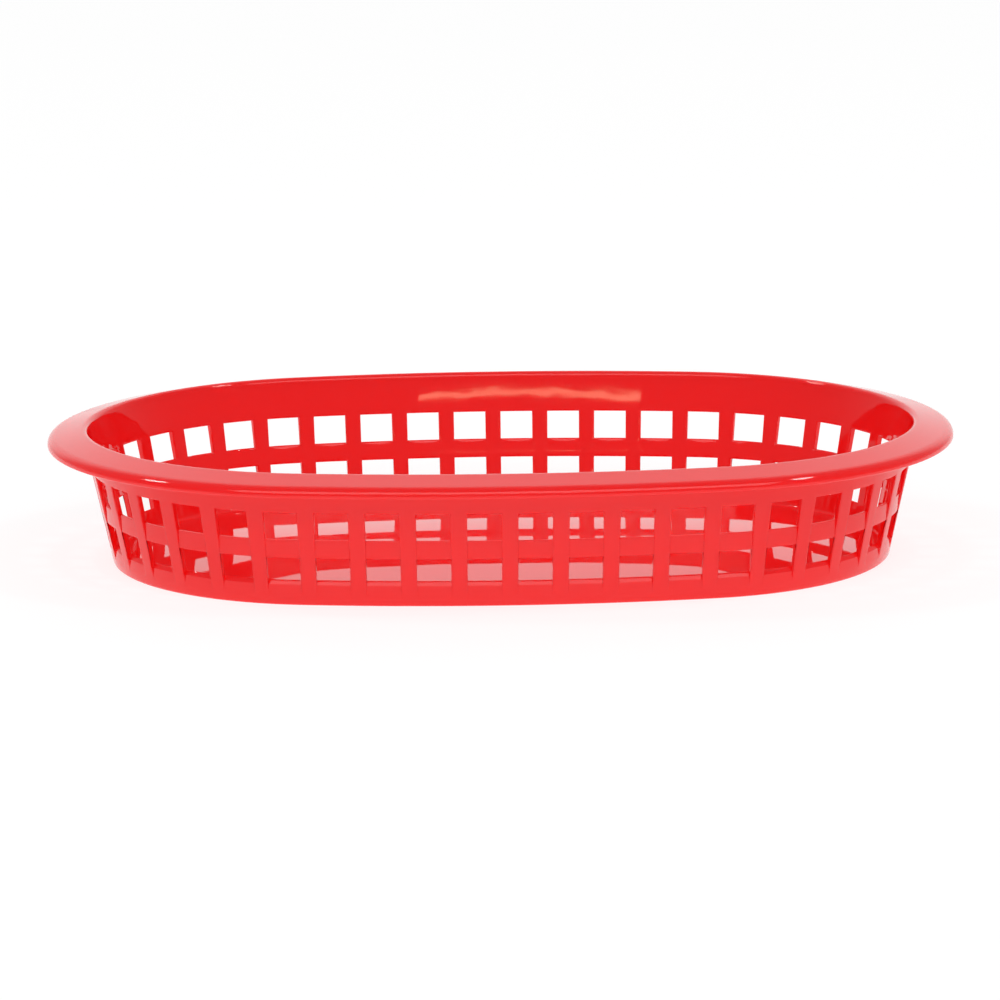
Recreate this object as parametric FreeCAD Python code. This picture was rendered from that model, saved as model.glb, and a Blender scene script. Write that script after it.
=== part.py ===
import FreeCAD, Part
import math
import os

# Shallow oval serving basket, moulded in one piece. Millimetres, +Z up.
# The origin is on the floor plane, under the centre of the oval.
# Every level of the basket is the rim outline moved inwards, so a place on
# the section is given by its distance in from the rim's edge and its height.

# Overall size
LENGTH = 266.7
WIDTH = 177.8
HEIGHT = 40.0
SIDE_RADIUS = 380.0  # bow of the long sides, at the rim's edge

# Rim: a flange that rises from its outer lip to a rounded crest
RIM_SLOPE = 12.5  # degrees from level
RIM_THICKNESS = 1.8
LIP_HEIGHT = 2.8
LIP_THICKNESS = 1.8
LIP_TOP_ROUND = 1.8
LIP_FOOT_ROUND = 0.5
CREST_ROUND = 1.4

# Wall: a sloping sheet under the rim
WALL_START = 9.9  # outer face, in from the rim's edge, at full height
WALL_DRAFT = 12.3  # degrees from upright
WALL_THICKNESS = 1.8
FOOT_ROUND = 1.0

# Windows: two rows in columns all round, with a post between columns
COLUMNS = 44
WINDOW_WIDTH = 9.7
POST_LINE = 15.0  # the columns are evenly spaced along the outline this far in
UPPER_TOP = 28.1
RING_TOP = 19.9
RING_BOTTOM = 14.4
RING_TOP_SETBACK = 0.7  # how far the ring stands back from the posts' face, at its top
RING_FOOT_SETBACK = 0.2
LOWER_BOTTOM = 7.6
SILL_FLUSH = 3.2  # the sill's upright face meets the posts' face about here
PAST_FACE = 4.0  # how far a cutter runs clear of the face that it cuts

# Base: a closed sheet that slopes up from a flat ring to a low crown
BASE_THICKNESS = 1.7
RING_WIDTH = 2.5  # flat ring inside the wall's foot
BASE_SLOPE = 3.1  # degrees
CROWN_HALF_WIDTH = 30.0  # the crown, on each side of the middle line
CROWN_FLAT = 12.0  # its level middle, on each side of the same line


def end_radius():
    """Radius of the round ends, so that they run smoothly into the sides."""
    a = LENGTH / 2
    b = WIDTH / 2
    return (2 * SIDE_RADIUS * b - a * a - b * b) / (2 * (SIDE_RADIUS - a))


END_RADIUS = end_radius()
END_CENTRE = LENGTH / 2 - END_RADIUS
SIDE_CENTRE = SIDE_RADIUS - WIDTH / 2
HALF_BEARING = math.atan2(END_CENTRE, SIDE_CENTRE)  # where a side's arc meets the end's
SLOPE = math.tan(math.radians(WALL_DRAFT))
CROWN_RADIUS = CROWN_HALF_WIDTH / math.sin(math.radians(BASE_SLOPE))
SIDE_RUN = (SIDE_RADIUS - POST_LINE) * HALF_BEARING
QUARTER_RUN = SIDE_RUN + (END_RADIUS - POST_LINE) * (math.pi / 2 - HALF_BEARING)


def outer_face(z):
    """How far in from the rim's edge the wall's outer face is at a height."""
    return WALL_START + (HEIGHT - z) * SLOPE


def inner_face(z):
    return outer_face(z) + WALL_THICKNESS


def eased_face(corners):
    """Flat face in the XZ plane, with each corner eased by flats on its arc.

    A corner is (x, z, radius of its arc, number of flats: 0, 1 or 2).
    """
    count = len(corners)
    points = [FreeCAD.Vector(x, 0, z) for x, z, radius, flats in corners]
    outline = []
    for i in range(count):
        radius, flats = corners[i][2:]
        if flats == 0:
            outline.append(points[i])
            continue
        back = (points[i - 1] - points[i]).normalize()
        onward = (points[(i + 1) % count] - points[i]).normalize()
        half = back.getAngle(onward) / 2
        reach = radius / math.tan(half)
        outline.append(points[i] + back * reach)
        if flats == 2:
            middle = (back + onward).normalize()
            outline.append(points[i] + middle * (radius / math.sin(half) - radius))
        outline.append(points[i] + onward * reach)
    return Part.Face(Part.makePolygon(outline + outline[:1]))


def around(section):
    """Carry a section, given as distance in and height, round the whole oval.

    The section is a face whose x is the distance in from the rim's edge.
    """
    up = FreeCAD.Vector(0, 0, 1)
    half = math.degrees(HALF_BEARING)
    mirrored = section.mirror(FreeCAD.Vector(0, 0, 0), FreeCAD.Vector(1, 0, 0))
    pieces = []
    for turn in (0, 180):
        end = mirrored.copy()
        end.translate(FreeCAD.Vector(LENGTH / 2, 0, 0))
        centre = FreeCAD.Vector(END_CENTRE, 0, 0)
        end.rotate(centre, up, half - 90)
        end = end.revolve(centre, up, 2 * (90 - half))
        side = mirrored.copy()
        side.translate(FreeCAD.Vector(SIDE_RADIUS, 0, 0))
        side.rotate(FreeCAD.Vector(0, 0, 0), up, 90 - half)
        side = side.revolve(FreeCAD.Vector(0, 0, 0), up, 2 * half)
        side.translate(FreeCAD.Vector(0, -SIDE_CENTRE, 0))
        for piece in (end, side):
            piece.rotate(FreeCAD.Vector(0, 0, 0), up, turn)
            pieces.append(piece)
    return pieces[0].fuse(pieces[1:]).removeSplitter()


def oval_face(inset, z):
    """The rim's outline moved inwards, as a flat face at a height."""
    side = SIDE_RADIUS - inset
    end = END_RADIUS - inset
    corner_x = side * math.sin(HALF_BEARING)
    corner_y = side * math.cos(HALF_BEARING) - SIDE_CENTRE
    top = FreeCAD.Vector(0, side - SIDE_CENTRE, z)
    right = FreeCAD.Vector(END_CENTRE + end, 0, z)
    corners = [FreeCAD.Vector(sx * corner_x, sy * corner_y, z)
               for sx, sy in ((-1, 1), (1, 1), (1, -1), (-1, -1))]
    edges = [
        Part.Arc(corners[0], top, corners[1]).toShape(),
        Part.Arc(corners[1], right, corners[2]).toShape(),
        Part.Arc(corners[2], FreeCAD.Vector(0, -top.y, z), corners[3]).toShape(),
        Part.Arc(corners[3], FreeCAD.Vector(-right.x, 0, z), corners[0]).toShape(),
    ]
    return Part.Face(Part.Wire(edges))


def rim_meets(edge_z, wall_start):
    """Where a rim line through (0, edge_z) meets a wall face with that start."""
    rise = math.tan(math.radians(RIM_SLOPE))
    x = (wall_start + (HEIGHT - edge_z) * SLOPE) / (1 + rise * SLOPE)
    return x, edge_z + x * rise


def shell():
    """Rim and wall: one section carried round the oval."""
    tilt = math.radians(RIM_SLOPE)
    crest_x = inner_face(HEIGHT - CREST_ROUND) - CREST_ROUND / math.cos(math.radians(WALL_DRAFT))
    lip_top = HEIGHT - CREST_ROUND + CREST_ROUND / math.cos(tilt) - crest_x * math.tan(tilt)
    lip_foot = lip_top - LIP_HEIGHT
    under = lip_top - RIM_THICKNESS / math.cos(tilt)
    crest = rim_meets(lip_top, WALL_START + WALL_THICKNESS)
    armpit = rim_meets(under, WALL_START)
    section = eased_face([
        (0, lip_foot, LIP_FOOT_ROUND, 1),
        (0, lip_top, LIP_TOP_ROUND, 2),
        (crest[0], crest[1], CREST_ROUND, 2),
        (inner_face(0), 0, 0, 0),
        (outer_face(0), 0, FOOT_ROUND, 1),
        (armpit[0], armpit[1], 0, 0),
        (LIP_THICKNESS, under + LIP_THICKNESS * math.tan(tilt), 0, 0),
        (LIP_THICKNESS, lip_foot, 0, 0),
    ])
    return around(section)


def base():
    """The closed base: a sloping sheet round a level middle."""
    edge = outer_face(0) + WALL_THICKNESS / 2
    slope_start = inner_face(BASE_THICKNESS) + RING_WIDTH
    crown_start = WIDTH / 2 - CROWN_HALF_WIDTH
    flat_start = WIDTH / 2 - CROWN_FLAT
    crown_foot = (crown_start - slope_start) * math.tan(math.radians(BASE_SLOPE))
    crown_rise = (math.sqrt(CROWN_RADIUS ** 2 - CROWN_FLAT ** 2)
                  - math.sqrt(CROWN_RADIUS ** 2 - CROWN_HALF_WIDTH ** 2))
    under = [
        FreeCAD.Vector(edge, 0, 0),
        FreeCAD.Vector(slope_start, 0, 0),
        FreeCAD.Vector(crown_start, 0, crown_foot),
        FreeCAD.Vector(flat_start, 0, crown_foot + crown_rise),
    ]
    up = FreeCAD.Vector(0, 0, BASE_THICKNESS)
    top = [point + up for point in reversed(under)]
    sheet = around(Part.Face(Part.makePolygon(under + top + under[:1])))
    middle = oval_face(flat_start, crown_foot + crown_rise).extrude(up)
    return sheet.fuse(middle)


def window_cutter():
    """Section cut from the wall in one column, extruded to the windows' width.

    Between the two windows and under the lower one the cut only trims the
    outer face, so the ring and the sill stand back from the posts.
    """
    clear = outer_face(HEIGHT) - PAST_FACE
    through_upper = inner_face(RING_TOP) + PAST_FACE
    through_lower = inner_face(LOWER_BOTTOM) + PAST_FACE
    ring_top_face = outer_face(RING_TOP) + RING_TOP_SETBACK
    ring_foot_face = outer_face(RING_BOTTOM) + RING_FOOT_SETBACK
    sill_face = outer_face(SILL_FLUSH)
    sill_foot = SILL_FLUSH / 2
    corners = [
        (clear, UPPER_TOP),
        (through_upper, UPPER_TOP),
        (through_upper, RING_TOP),
        (ring_top_face, RING_TOP),
        (ring_foot_face, RING_BOTTOM),
        (through_lower, RING_BOTTOM),
        (through_lower, LOWER_BOTTOM),
        (sill_face, LOWER_BOTTOM),
        (sill_face, sill_foot),
        (clear, sill_foot),
    ]
    points = [FreeCAD.Vector(x, -WINDOW_WIDTH / 2, z) for x, z in corners]
    face = Part.Face(Part.makePolygon(points + points[:1]))
    return face.extrude(FreeCAD.Vector(0, WINDOW_WIDTH, 0))


def column_place(distance):
    """Place on the rim's edge, facing inwards, at a distance along the columns' line."""
    turn = 0
    if distance >= 2 * QUARTER_RUN:
        distance -= 2 * QUARTER_RUN
        turn = 180
    mirrored = distance > QUARTER_RUN
    if mirrored:
        distance = 2 * QUARTER_RUN - distance
    if distance < SIDE_RUN:
        bearing = distance / (SIDE_RADIUS - POST_LINE)
        x = SIDE_RADIUS * math.sin(bearing)
        y = SIDE_RADIUS * math.cos(bearing) - SIDE_CENTRE
    else:
        bearing = HALF_BEARING + (distance - SIDE_RUN) / (END_RADIUS - POST_LINE)
        x = END_CENTRE + END_RADIUS * math.sin(bearing)
        y = END_RADIUS * math.cos(bearing)
    facing = -90 - math.degrees(bearing)
    if mirrored:
        y = -y
        facing = -facing
    place = FreeCAD.Placement(FreeCAD.Vector(x, y, 0),
                              FreeCAD.Rotation(FreeCAD.Vector(0, 0, 1), facing))
    about = FreeCAD.Placement(FreeCAD.Vector(0, 0, 0),
                              FreeCAD.Rotation(FreeCAD.Vector(0, 0, 1), turn))
    return about.multiply(place)


def windows():
    """A cutter for every column, with a post left centred on each long side."""
    cutters = []
    for i in range(COLUMNS):
        cutter = window_cutter()
        cutter.Placement = column_place((i + 0.5) * 4 * QUARTER_RUN / COLUMNS)
        cutters.append(cutter)
    return cutters


def basket():
    """The whole moulding as one solid."""
    return shell().cut(windows()).fuse(base()).removeSplitter()


os.makedirs("parts", exist_ok=True)
shape = basket()
print("solids", len(shape.Solids), "valid", shape.isValid(), "volume", round(shape.Volume))
shape.exportStep("parts/basket.step")
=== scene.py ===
import math

import bmesh
import bpy
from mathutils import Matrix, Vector


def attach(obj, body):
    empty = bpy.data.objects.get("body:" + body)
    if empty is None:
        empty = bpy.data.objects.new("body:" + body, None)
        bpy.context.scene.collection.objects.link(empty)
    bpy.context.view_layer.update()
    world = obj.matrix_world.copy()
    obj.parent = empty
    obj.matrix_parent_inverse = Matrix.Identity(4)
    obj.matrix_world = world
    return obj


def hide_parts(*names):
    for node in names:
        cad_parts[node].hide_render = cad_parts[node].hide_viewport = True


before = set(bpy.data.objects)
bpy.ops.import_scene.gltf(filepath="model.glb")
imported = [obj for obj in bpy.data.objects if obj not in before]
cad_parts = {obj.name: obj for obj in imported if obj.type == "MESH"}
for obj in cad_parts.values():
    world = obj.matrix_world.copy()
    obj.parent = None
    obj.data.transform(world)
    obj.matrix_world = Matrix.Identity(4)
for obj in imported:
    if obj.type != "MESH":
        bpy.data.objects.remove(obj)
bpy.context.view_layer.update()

# Sizes in millimetres, as the basket's source has them but for the lip and the finer roundings
MM = 0.001
SAME = 0.01  # places nearer than this are one place
LENGTH = 266.7
WIDTH = 177.8
HEIGHT = 40.0
SIDE_RADIUS = 380.0
RIM_SLOPE = math.radians(12.5)
RIM_THICKNESS = 1.8
LIP_HEIGHT = 2.8
LIP_THICKNESS = 2.4
LIP_TOP_ROUND = 2.7
LIP_FOOT_ROUND = 0.6
CREST_ROUND = 1.4
ARMPIT_ROUND = 2.0
WALL_START = 9.9
WALL_DRAFT = math.radians(12.3)
WALL_THICKNESS = 1.8
FOOT_ROUND = 1.0
INNER_FOOT_ROUND = 1.0
COLUMNS = 44
WINDOW_WIDTH = 9.7
POST_LINE = 15.0  # how far in from the rim's edge the posts are spaced out evenly
PARALLEL_REACH = 24.0  # how far in the two sides of a column stay parallel
UPPER_TOP = 28.1
RING_TOP = 19.9
RING_BOTTOM = 14.4
RING_TOP_SETBACK = 0.7
RING_FOOT_SETBACK = 0.2
LOWER_BOTTOM = 7.6
SILL_FLUSH = 3.2
EDGE_ROUND = 0.3
CLOSE_LINE = 0.8  # between an edge and the line that keeps the face beside it flat
EASE_HEIGHT = 2.2  # the height over which the tops of the sill and the ring are eased
SILL_DROP = 1.5
RING_EASE = 0.3
BASE_THICKNESS = 1.7
RING_WIDTH = 2.5
BASE_SLOPE = math.radians(3.1)
CROWN_HALF_WIDTH = 30.0
BASE_STEPS = 9
WAVE_LENGTH = 9.1  # of the faint waves that moulding leaves in the surface
WAVE_HEIGHT = 0.4  # which the bump's strength cuts to 0.007
GLOW_DEPTH = 2.0  # how deep red light goes into the plastic

SLOPE = math.tan(WALL_DRAFT)
HALF_LENGTH = LENGTH / 2
HALF_WIDTH = WIDTH / 2
END_RADIUS = ((2 * SIDE_RADIUS * HALF_WIDTH - HALF_LENGTH ** 2 - HALF_WIDTH ** 2)
              / (2 * (SIDE_RADIUS - HALF_LENGTH)))
END_CENTRE = HALF_LENGTH - END_RADIUS
SIDE_CENTRE = SIDE_RADIUS - HALF_WIDTH
HALF_BEARING = math.atan2(END_CENTRE, SIDE_CENTRE)
CROWN_RADIUS = CROWN_HALF_WIDTH / math.sin(BASE_SLOPE)
HALF_WINDOW = WINDOW_WIDTH / 2


def quarter_run(inset):
    """Length of a quarter of the outline, moved in from the rim's edge."""
    return ((SIDE_RADIUS - inset) * HALF_BEARING
            + (END_RADIUS - inset) * (math.pi / 2 - HALF_BEARING))


def run_at(bearing, inset):
    """Length along the outline from the middle of the back side to a bearing."""
    turns, rest = divmod(bearing, math.pi)
    fold = min(rest, math.pi - rest)
    run = (SIDE_RADIUS - inset) * min(fold, HALF_BEARING)
    run += (END_RADIUS - inset) * max(fold - HALF_BEARING, 0.0)
    if rest > math.pi / 2:
        run = 2 * quarter_run(inset) - run
    return turns * 2 * quarter_run(inset) + run


def bearing_at(run, inset):
    """The bearing of a point that far along the outline."""
    half = 2 * quarter_run(inset)
    turns, rest = divmod(run, half)
    fold = min(rest, half - rest)
    side_run = (SIDE_RADIUS - inset) * HALF_BEARING
    if fold < side_run:
        bearing = fold / (SIDE_RADIUS - inset)
    else:
        bearing = HALF_BEARING + (fold - side_run) / (END_RADIUS - inset)
    if rest > half / 2:
        bearing = math.pi - bearing
    return turns * math.pi + bearing


def on_outline(bearing, inset, height):
    """The point on the outline at a bearing, in metres."""
    across, ahead = math.sin(bearing), math.cos(bearing)
    centre, radius = (math.copysign(END_CENTRE, across), 0.0), END_RADIUS
    if abs(ahead) > math.cos(HALF_BEARING):
        centre, radius = (0.0, -math.copysign(SIDE_CENTRE, ahead)), SIDE_RADIUS
    return Vector((centre[0] + (radius - inset) * across,
                   centre[1] + (radius - inset) * ahead, height)) * MM


def outer_face(height):
    """How far in from the rim's edge the wall's outer face is, at a height."""
    return WALL_START + (HEIGHT - height) * SLOPE


def inner_face(height):
    return outer_face(height) + WALL_THICKNESS


PITCH = 4 * quarter_run(POST_LINE) / COLUMNS
SLOPE_START = inner_face(BASE_THICKNESS) + RING_WIDTH
RING_TOP_FACE = outer_face(RING_TOP) + RING_TOP_SETBACK
RING_FOOT_FACE = outer_face(RING_BOTTOM) + RING_FOOT_SETBACK
SILL_FACE = outer_face(SILL_FLUSH)


def base_rise(inset):
    """How far the base stands up off the floor, at a distance in from the rim's edge."""
    crown_start = HALF_WIDTH - CROWN_HALF_WIDTH
    rise = max(0.0, min(inset, crown_start) - SLOPE_START) * math.tan(BASE_SLOPE)
    if inset > crown_start:
        rise += math.sqrt(CROWN_RADIUS ** 2 - (HALF_WIDTH - inset) ** 2)
        rise -= math.sqrt(CROWN_RADIUS ** 2 - CROWN_HALF_WIDTH ** 2)
    return rise


def pick(piece, kind, wanted):
    """Select in edit mode the vertices, edges or faces whose middle passes a test."""
    bpy.ops.mesh.select_mode(type=kind)
    bpy.ops.mesh.select_all(action="DESELECT")
    shape = bmesh.from_edit_mesh(piece.data)
    parts = {"VERT": shape.verts, "EDGE": shape.edges, "FACE": shape.faces}[kind]
    for part in parts:
        points = [part] if kind == "VERT" else part.verts
        part.select_set(wanted([v.co / MM for v in points]))
    shape.select_flush_mode()
    bmesh.update_edit_mesh(piece.data)


def middle(points):
    return sum(points, Vector()) / len(points)


def shift_picked(piece, place):
    """Move each selected vertex to the place that a function gives, in millimetres."""
    shape = bmesh.from_edit_mesh(piece.data)
    for vertex in shape.verts:
        if vertex.select:
            vertex.co = Vector(place(vertex.co / MM)) * MM
    bmesh.update_edit_mesh(piece.data)


def cut_through(point, normal):
    """Bisect the whole mesh in a plane."""
    bpy.ops.mesh.select_all(action="SELECT")
    bpy.ops.mesh.bisect(plane_co=Vector(point) * MM, plane_no=normal)


def near(value, target):
    return abs(value - target) < SAME


def round_edge(piece, out, height, radius, interior, segments):
    """Round the long edge at a place on the section, whose faces meet at an interior angle."""
    pick(piece, "EDGE", lambda ends: all(near(p.y, out) and near(p.z, height) for p in ends))
    bpy.ops.mesh.bevel(offset=radius * MM / math.tan(interior / 2), segments=segments,
                       profile=0.5, affect="EDGES")


def closed_column():
    """One column of the wall, before its windows are opened.

    It is laid straight, with x along it and y outwards from the rim's edge. It has the rim
    above and its share of the base below, and half a post each side.
    """
    rise = math.tan(RIM_SLOPE)
    crest_inset = (inner_face(HEIGHT - CREST_ROUND) - CREST_ROUND / math.cos(WALL_DRAFT))
    lip_top = (HEIGHT - CREST_ROUND + CREST_ROUND / math.cos(RIM_SLOPE)
               - crest_inset * rise)
    lip_foot = lip_top - LIP_HEIGHT
    under = lip_top - RIM_THICKNESS / math.cos(RIM_SLOPE)

    def rim_meets(edge_height, wall_start):
        inset = (wall_start + (HEIGHT - edge_height) * SLOPE) / (1 + rise * SLOPE)
        return inset, edge_height + inset * rise

    crest = rim_meets(lip_top, WALL_START + WALL_THICKNESS)
    brow = rim_meets(lip_top, WALL_START)
    armpit = rim_meets(under, WALL_START)

    # The wall starts as a block, leant to its draft
    bpy.ops.object.select_all(action="DESELECT")
    bpy.ops.mesh.primitive_cube_add(size=MM, scale=(PITCH, WALL_THICKNESS, HEIGHT))
    unit = bpy.context.object
    bpy.ops.object.transform_apply(location=True, rotation=True, scale=True)
    bpy.ops.object.mode_set(mode="EDIT")

    def lean(p):
        if p.z < 0:
            return (p.x, -outer_face(0), 0) if p.y > 0 else (p.x, -inner_face(0), 0)
        inset, height = crest if p.y < 0 else brow
        return p.x, -inset, height

    pick(unit, "VERT", lambda points: True)
    shift_picked(unit, lean)
    cut_through((0, 0, BASE_THICKNESS), (0, 0, 1))
    cut_through((0, 0, armpit[1]), (0, 0, 1))

    # The rim is drawn out from the top of the block, and its lip down from that
    pick(unit, "FACE", lambda points: near(middle(points).x, 0)
         and middle(points).z > armpit[1] and middle(points).y > -armpit[0])
    for inset in (LIP_THICKNESS, 0):
        bpy.ops.mesh.extrude_region_move()
        shift_picked(unit, lambda p: (p.x, -inset, p.z + (p.y + inset) * rise))
    pick(unit, "FACE", lambda points: near(middle(points).x, 0)
         and near(middle(points).y, -LIP_THICKNESS / 2)
         and middle(points).z < lip_top - RIM_THICKNESS / 2)
    bpy.ops.mesh.extrude_region_move()
    shift_picked(unit, lambda p: (p.x, p.y, lip_foot))

    # The base is drawn in from the block's foot as far as the middle of the ends
    pick(unit, "FACE", lambda points: near(middle(points).x, 0)
         and middle(points).y < -outer_face(0) and SAME < middle(points).z < BASE_THICKNESS)
    inset_before = 0.0
    for step in range(BASE_STEPS + 1):
        inset = SLOPE_START + (END_RADIUS - SLOPE_START) * step / BASE_STEPS

        def draw_in(p):
            on_top = p.z > base_rise(inset_before) + BASE_THICKNESS / 2
            return p.x, -inset, base_rise(inset) + (BASE_THICKNESS if on_top else 0)

        bpy.ops.mesh.extrude_region_move()
        shift_picked(unit, draw_in)
        inset_before = inset

    # The sides are open, because the next column carries on from them
    pick(unit, "FACE", lambda points: abs(middle(points).x) > PITCH / 2 - SAME
         or near(middle(points).y, -END_RADIUS))
    bpy.ops.mesh.delete(type="FACE")

    right = math.pi / 2
    round_edge(unit, -crest[0], crest[1], CREST_ROUND, right + WALL_DRAFT - RIM_SLOPE, 5)
    round_edge(unit, 0, lip_top, LIP_TOP_ROUND, right + RIM_SLOPE, 5)
    round_edge(unit, 0, lip_foot, LIP_FOOT_ROUND, right, 3)
    round_edge(unit, -armpit[0], armpit[1], ARMPIT_ROUND, right + WALL_DRAFT - RIM_SLOPE, 3)
    round_edge(unit, -outer_face(0), 0, FOOT_ROUND, right + WALL_DRAFT, 3)
    round_edge(unit, -inner_face(BASE_THICKNESS), BASE_THICKNESS, INNER_FOOT_ROUND,
               right + WALL_DRAFT, 3)
    return unit


def open_windows(unit):
    """Let in the outer face of a column, and open its two windows."""
    # Lines at the windows' edges, just outside them to keep the faces flat, and between
    half = HALF_WINDOW
    for x in (half + CLOSE_LINE, half, half / 2, 0, -half / 2, -half, -half - CLOSE_LINE):
        cut_through((x, 0, 0), (1, 0, 0))
    for z in (UPPER_TOP + CLOSE_LINE, UPPER_TOP, RING_TOP, RING_TOP - CLOSE_LINE,
              RING_TOP - EASE_HEIGHT, RING_BOTTOM + CLOSE_LINE, RING_BOTTOM, LOWER_BOTTOM,
              LOWER_BOTTOM - CLOSE_LINE, LOWER_BOTTOM - EASE_HEIGHT, SILL_FLUSH):
        cut_through((0, 0, z), (0, 0, 1))

    # The ring stands back from the posts, and the sill is upright. The top edge of what is
    # let in lies half way through the wall, in the top face of the upper window.
    def outer_side(points):
        centre = middle(points)
        return (abs(centre.x) < half and SILL_FLUSH < centre.z < UPPER_TOP
                and centre.y > -outer_face(centre.z) - 10 * SAME)

    def let_in(p):
        if near(p.z, UPPER_TOP):
            return p.x, p.y - WALL_THICKNESS / 2, p.z
        if p.z < RING_BOTTOM - SAME:
            return p.x, -SILL_FACE, p.z
        share = (RING_TOP - p.z) / (RING_TOP - RING_BOTTOM)
        return p.x, -RING_TOP_FACE - (RING_FOOT_FACE - RING_TOP_FACE) * share, p.z

    pick(unit, "FACE", outer_side)
    bpy.ops.mesh.extrude_region_move()
    shift_picked(unit, let_in)
    bpy.ops.mesh.select_all(action="SELECT")
    bpy.ops.mesh.remove_doubles(threshold=0.001 * MM)

    # Each window is opened from the inner face to the outer
    for low, high in ((RING_TOP, UPPER_TOP), (LOWER_BOTTOM, RING_BOTTOM)):
        pick(unit, "FACE", lambda points: abs(middle(points).x) < half - SAME
             and low + SAME < middle(points).z < high - SAME)
        bpy.ops.mesh.bridge_edge_loops()


def ease_edges(unit):
    """Round the edges of a column's windows, and ease the tops of its sill and its ring."""
    half = HALF_WINDOW

    def outer_rim(ends):
        centre = middle(ends)
        upright = not near(ends[0].z, ends[1].z)
        if upright:
            return (near(abs(centre.x), half) and near(ends[0].x, ends[1].x)
                    and SILL_FLUSH < centre.z < UPPER_TOP
                    and near(centre.y, -outer_face(centre.z)))
        faces = {UPPER_TOP: outer_face(UPPER_TOP), RING_TOP: RING_TOP_FACE,
                 RING_BOTTOM: RING_FOOT_FACE, LOWER_BOTTOM: SILL_FACE}
        return abs(centre.x) < half and any(
            near(centre.z, z) and near(centre.y, -face) for z, face in faces.items())

    def inner_rim(ends):
        centre = middle(ends)
        if not near(centre.y, -inner_face(centre.z)):
            return False
        if near(ends[0].z, ends[1].z):
            return abs(centre.x) < half and any(
                near(centre.z, z) for z in (UPPER_TOP, RING_TOP, RING_BOTTOM, LOWER_BOTTOM))
        return near(abs(centre.x), half) and (
            RING_TOP < centre.z < UPPER_TOP or LOWER_BOTTOM < centre.z < RING_BOTTOM)

    pick(unit, "EDGE", lambda ends: outer_rim(ends) or inner_rim(ends))
    bpy.ops.mesh.bevel(offset=EDGE_ROUND * MM, segments=2, profile=0.5, affect="EDGES",
                       clamp_overlap=False)

    # The sill's top falls towards the outside, and the ring's inner face leans in less
    sill_inner = inner_face(LOWER_BOTTOM)

    def ease_tops(p):
        share = (p.z - LOWER_BOTTOM + EASE_HEIGHT) / EASE_HEIGHT
        if 0 < share < 1.01:
            out = max(0.0, (p.y + sill_inner) / (sill_inner - SILL_FACE))
            return p.x, p.y, p.z - SILL_DROP * share ** 2 * min(1.0, out) ** 2
        share = (p.z - RING_TOP + EASE_HEIGHT) / EASE_HEIGHT
        if 0 < share < 1.01 and p.y < -inner_face(p.z) + EDGE_ROUND + SAME:
            return p.x, p.y + RING_EASE * share ** 2, p.z
        return p

    pick(unit, "VERT", lambda points: abs(points[0].x) < half + EDGE_ROUND / 10)
    shift_picked(unit, ease_tops)


def bend(mesh, column):
    """Carry a straight column to its place on the oval, with its window's sides parallel."""
    half = HALF_WINDOW
    centre = bearing_at((column + 0.5) * PITCH, POST_LINE)
    for vertex in mesh.vertices:
        along, inset, height = vertex.co.x / MM, -vertex.co.y / MM, vertex.co.z / MM
        flat = max(-half, min(half, along))
        reach = min(inset, PARALLEL_REACH)
        bearing = bearing_at(run_at(centre, reach) + flat, reach)
        if abs(along) > half:
            post = bearing_at((column + 0.5 + math.copysign(0.5, along)) * PITCH, POST_LINE)
            share = (abs(along) - half) / (PITCH / 2 - half)
            bearing += (post - bearing) * share
        vertex.co = on_outline(bearing, inset, height)


def inset_of(p):
    """How far a point is in from the rim's edge."""
    x, y = abs(p.x), abs(p.y)
    if x * math.cos(HALF_BEARING) < (y + SIDE_CENTRE) * math.sin(HALF_BEARING):
        return SIDE_RADIUS - math.hypot(x, y + SIDE_CENTRE)
    return END_RADIUS - math.hypot(x - END_CENTRE, y)


def moulding():
    """All the columns, joined into the rim, the wall and the base."""
    unit = closed_column()
    open_windows(unit)
    ease_edges(unit)
    bpy.ops.object.mode_set(mode="OBJECT")
    columns = []
    for column in range(COLUMNS):
        copy = bpy.data.objects.new("column", unit.data.copy())
        bpy.context.collection.objects.link(copy)
        bend(copy.data, column)
        columns.append(copy)
    bpy.data.objects.remove(unit)
    bpy.ops.object.select_all(action="DESELECT")
    for copy in columns:
        copy.select_set(True)
    bpy.context.view_layer.objects.active = columns[0]
    bpy.ops.object.join()
    wall = bpy.context.object
    bpy.ops.object.mode_set(mode="EDIT")
    bpy.ops.mesh.select_all(action="SELECT")
    bpy.ops.mesh.remove_doubles(threshold=0.005 * MM)

    # The narrow gap left between the end centres is closed, above and below
    level = base_rise(END_RADIUS)
    for height in (level, level + BASE_THICKNESS):
        pick(wall, "EDGE", lambda ends: all(
            near(p.z, height) and abs(p.x) < END_CENTRE + SAME
            and near(inset_of(p), END_RADIUS) for p in ends))
        bpy.ops.mesh.edge_face_add()
    bpy.ops.mesh.select_all(action="SELECT")
    bpy.ops.mesh.normals_make_consistent(inside=False)
    bpy.ops.object.mode_set(mode="OBJECT")
    return wall


basket = moulding()
basket.name = "basket_moulding"
basket.data.name = "basket_moulding"
bpy.ops.object.shade_smooth_by_angle(angle=math.radians(50))
weigh = basket.modifiers.new("weigh", "WEIGHTED_NORMAL")
weigh.keep_sharp = True
bpy.ops.object.modifier_apply(modifier=weigh.name)

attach(basket, "root")
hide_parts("basket")


def linear(hex_colour):
    """A colour written as sRGB hex, as the linear values that a shader takes."""
    values = [int(hex_colour[i:i + 2], 16) / 255 for i in (0, 2, 4)]
    return [v / 12.92 if v <= 0.04045 else ((v + 0.055) / 1.055) ** 2.4
            for v in values] + [1.0]


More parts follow.
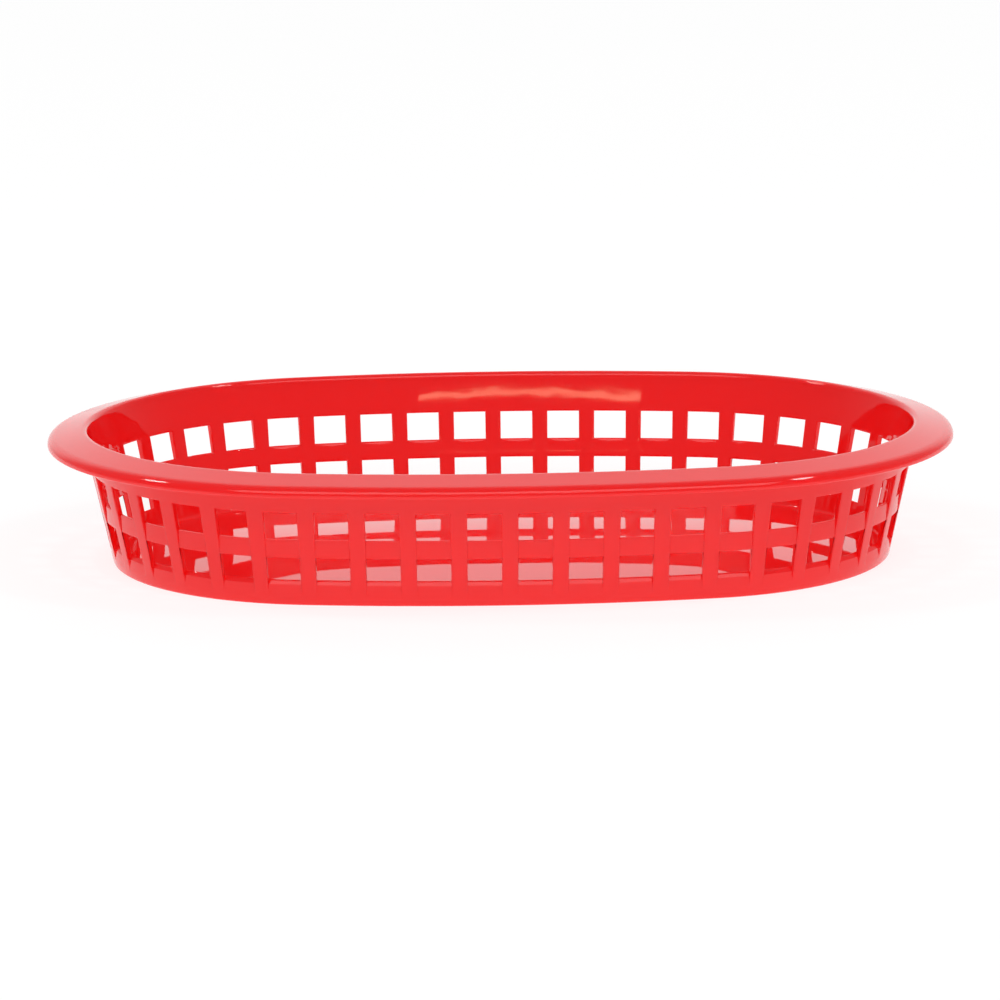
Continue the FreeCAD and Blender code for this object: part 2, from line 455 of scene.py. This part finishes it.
def node(tree, kind, links=(), **settings):
    """Add a node with its settings. A link is (input, other node, its output)."""
    made = tree.nodes.new(kind)
    for name, value in settings.items():
        setattr(made, name, value)
    for socket, other, output in links:
        tree.links.new(other.outputs[output], made.inputs[socket])
    return made


def red_polypropylene():
    """Polypropylene, injection moulded in a polished mould.

    It gives the eye a deep red that glows at thin edges, under mirror images as sharp as
    on glass, which waver a little where the plastic shrank unevenly.
    """
    material = bpy.data.materials.new("red_polypropylene_moulded")
    material.use_nodes = True
    tree = material.node_tree
    tree.nodes.clear()
    place = node(tree, "ShaderNodeTexCoord")
    waves = node(tree, "ShaderNodeTexNoise", [("Vector", place, "Object")])
    waves.inputs["Scale"].default_value = 1 / (WAVE_LENGTH * MM)
    waves.inputs["Detail"].default_value = 1.0
    bump = node(tree, "ShaderNodeBump", [("Height", waves, "Fac")])
    bump.inputs["Strength"].default_value = 0.018
    bump.inputs["Distance"].default_value = WAVE_HEIGHT * MM
    surface = node(tree, "ShaderNodeBsdfPrincipled", [("Normal", bump, "Normal")])
    surface.inputs["Base Color"].default_value = linear("FA1A1D")
    surface.inputs["Roughness"].default_value = 0.02
    surface.inputs["IOR"].default_value = 1.49
    surface.inputs["Subsurface Weight"].default_value = 1.0
    surface.inputs["Subsurface Scale"].default_value = GLOW_DEPTH * MM
    surface.inputs["Subsurface Radius"].default_value = (1.0, 0.08, 0.06)
    node(tree, "ShaderNodeOutputMaterial", [("Surface", surface, "BSDF")])
    return material


basket.data.materials.clear()
basket.data.materials.append(red_polypropylene())

# Pale floor of matt white paper. It is given a mid grey that glows, so that it stays white
# and takes on little of the basket's red
bpy.ops.object.select_all(action="DESELECT")
bpy.ops.mesh.primitive_plane_add(size=30, location=(0, 0, 0))
floor = bpy.context.object
floor.name = "floor"
paper = bpy.data.materials.new("white_paper_sweep")
paper.use_nodes = True
sheet = paper.node_tree.nodes["Principled BSDF"]
sheet.inputs["Base Color"].default_value = linear("8C8C8C")
sheet.inputs["Roughness"].default_value = 0.9
sheet.inputs["Specular IOR Level"].default_value = 0.0
sheet.inputs["Emission Color"].default_value = linear("FFFFFF")
sheet.inputs["Emission Strength"].default_value = 0.8
floor.data.materials.append(paper)

# Camera, at the photograph's viewing angle
lens = bpy.data.cameras.new("camera")
lens.sensor_width = 36.0
lens.lens = 195.82
lens.clip_end = 60
camera = bpy.data.objects.new("camera", lens)
bpy.context.collection.objects.link(camera)
camera.location = (-0.05012, -1.57232, 0.34813)
camera.rotation_euler = [math.radians(a) for a in (78.0763, 0.5158, -1.9195)]
bpy.context.scene.camera = camera

# Light: a white backdrop behind the basket and a dim room before it
world = bpy.data.worlds.new("studio")
bpy.context.scene.world = world
world.use_nodes = True
room = world.node_tree
room.nodes.clear()
way = node(room, "ShaderNodeTexCoord")
# The room is brightest behind the basket and a little above it
facing = node(room, "ShaderNodeVectorMath", [(0, way, "Generated")], operation="DOT_PRODUCT")
facing.inputs[1].default_value = (0.0, 0.92, 0.39)
shade = node(room, "ShaderNodeValToRGB", [("Fac", facing, "Value")])
shade.color_ramp.elements[0].color = (0.3, 0.3, 0.3, 1)
shade.color_ramp.elements[1].position = 0.9
for place, level in ((0.35, 0.35), (0.7, 0.45)):
    shade.color_ramp.elements.new(place).color = (level, level, level, 1)
glow = node(room, "ShaderNodeBackground", [("Color", shade, "Color")])
glow.inputs["Strength"].default_value = 1.04
node(room, "ShaderNodeOutputWorld", [("Surface", glow, "Background")])


def soft_lamp(name, place, width, height, watts, colour="FFFFFF"):
    """A rectangular lamp that faces the basket, with its place and size in metres."""
    lamp = bpy.data.lights.new(name, "AREA")
    lamp.shape = "RECTANGLE"
    lamp.size = width
    lamp.size_y = height
    lamp.energy = watts
    lamp.color = linear(colour)[:3]
    stand = bpy.data.objects.new(name, lamp)
    bpy.context.collection.objects.link(stand)
    stand.location = place
    stand.rotation_euler = Vector(place).to_track_quat("Z", "Y").to_euler()


# The softbox lights the front, the side lamps glint on the rim, and the tube is the streak
# on the inner face of the back wall
soft_lamp("big_softbox", place=(0.0, -4.55, 3.9), width=9.0, height=3.0, watts=148.0)
soft_lamp("left_lamp", place=(-2.9, 0.3, 2.8), width=0.5, height=0.5, watts=18.0)
soft_lamp("right_lamp", place=(2.4, -0.8, 3.1), width=0.5, height=0.5, watts=18.0)
soft_lamp("tube_by_the_camera", place=(-0.03, -1.477, 0.4155), width=0.46, height=0.003,
          watts=0.031, colour="FFDDB4")

bpy.context.scene.view_settings.view_transform = "Standard"
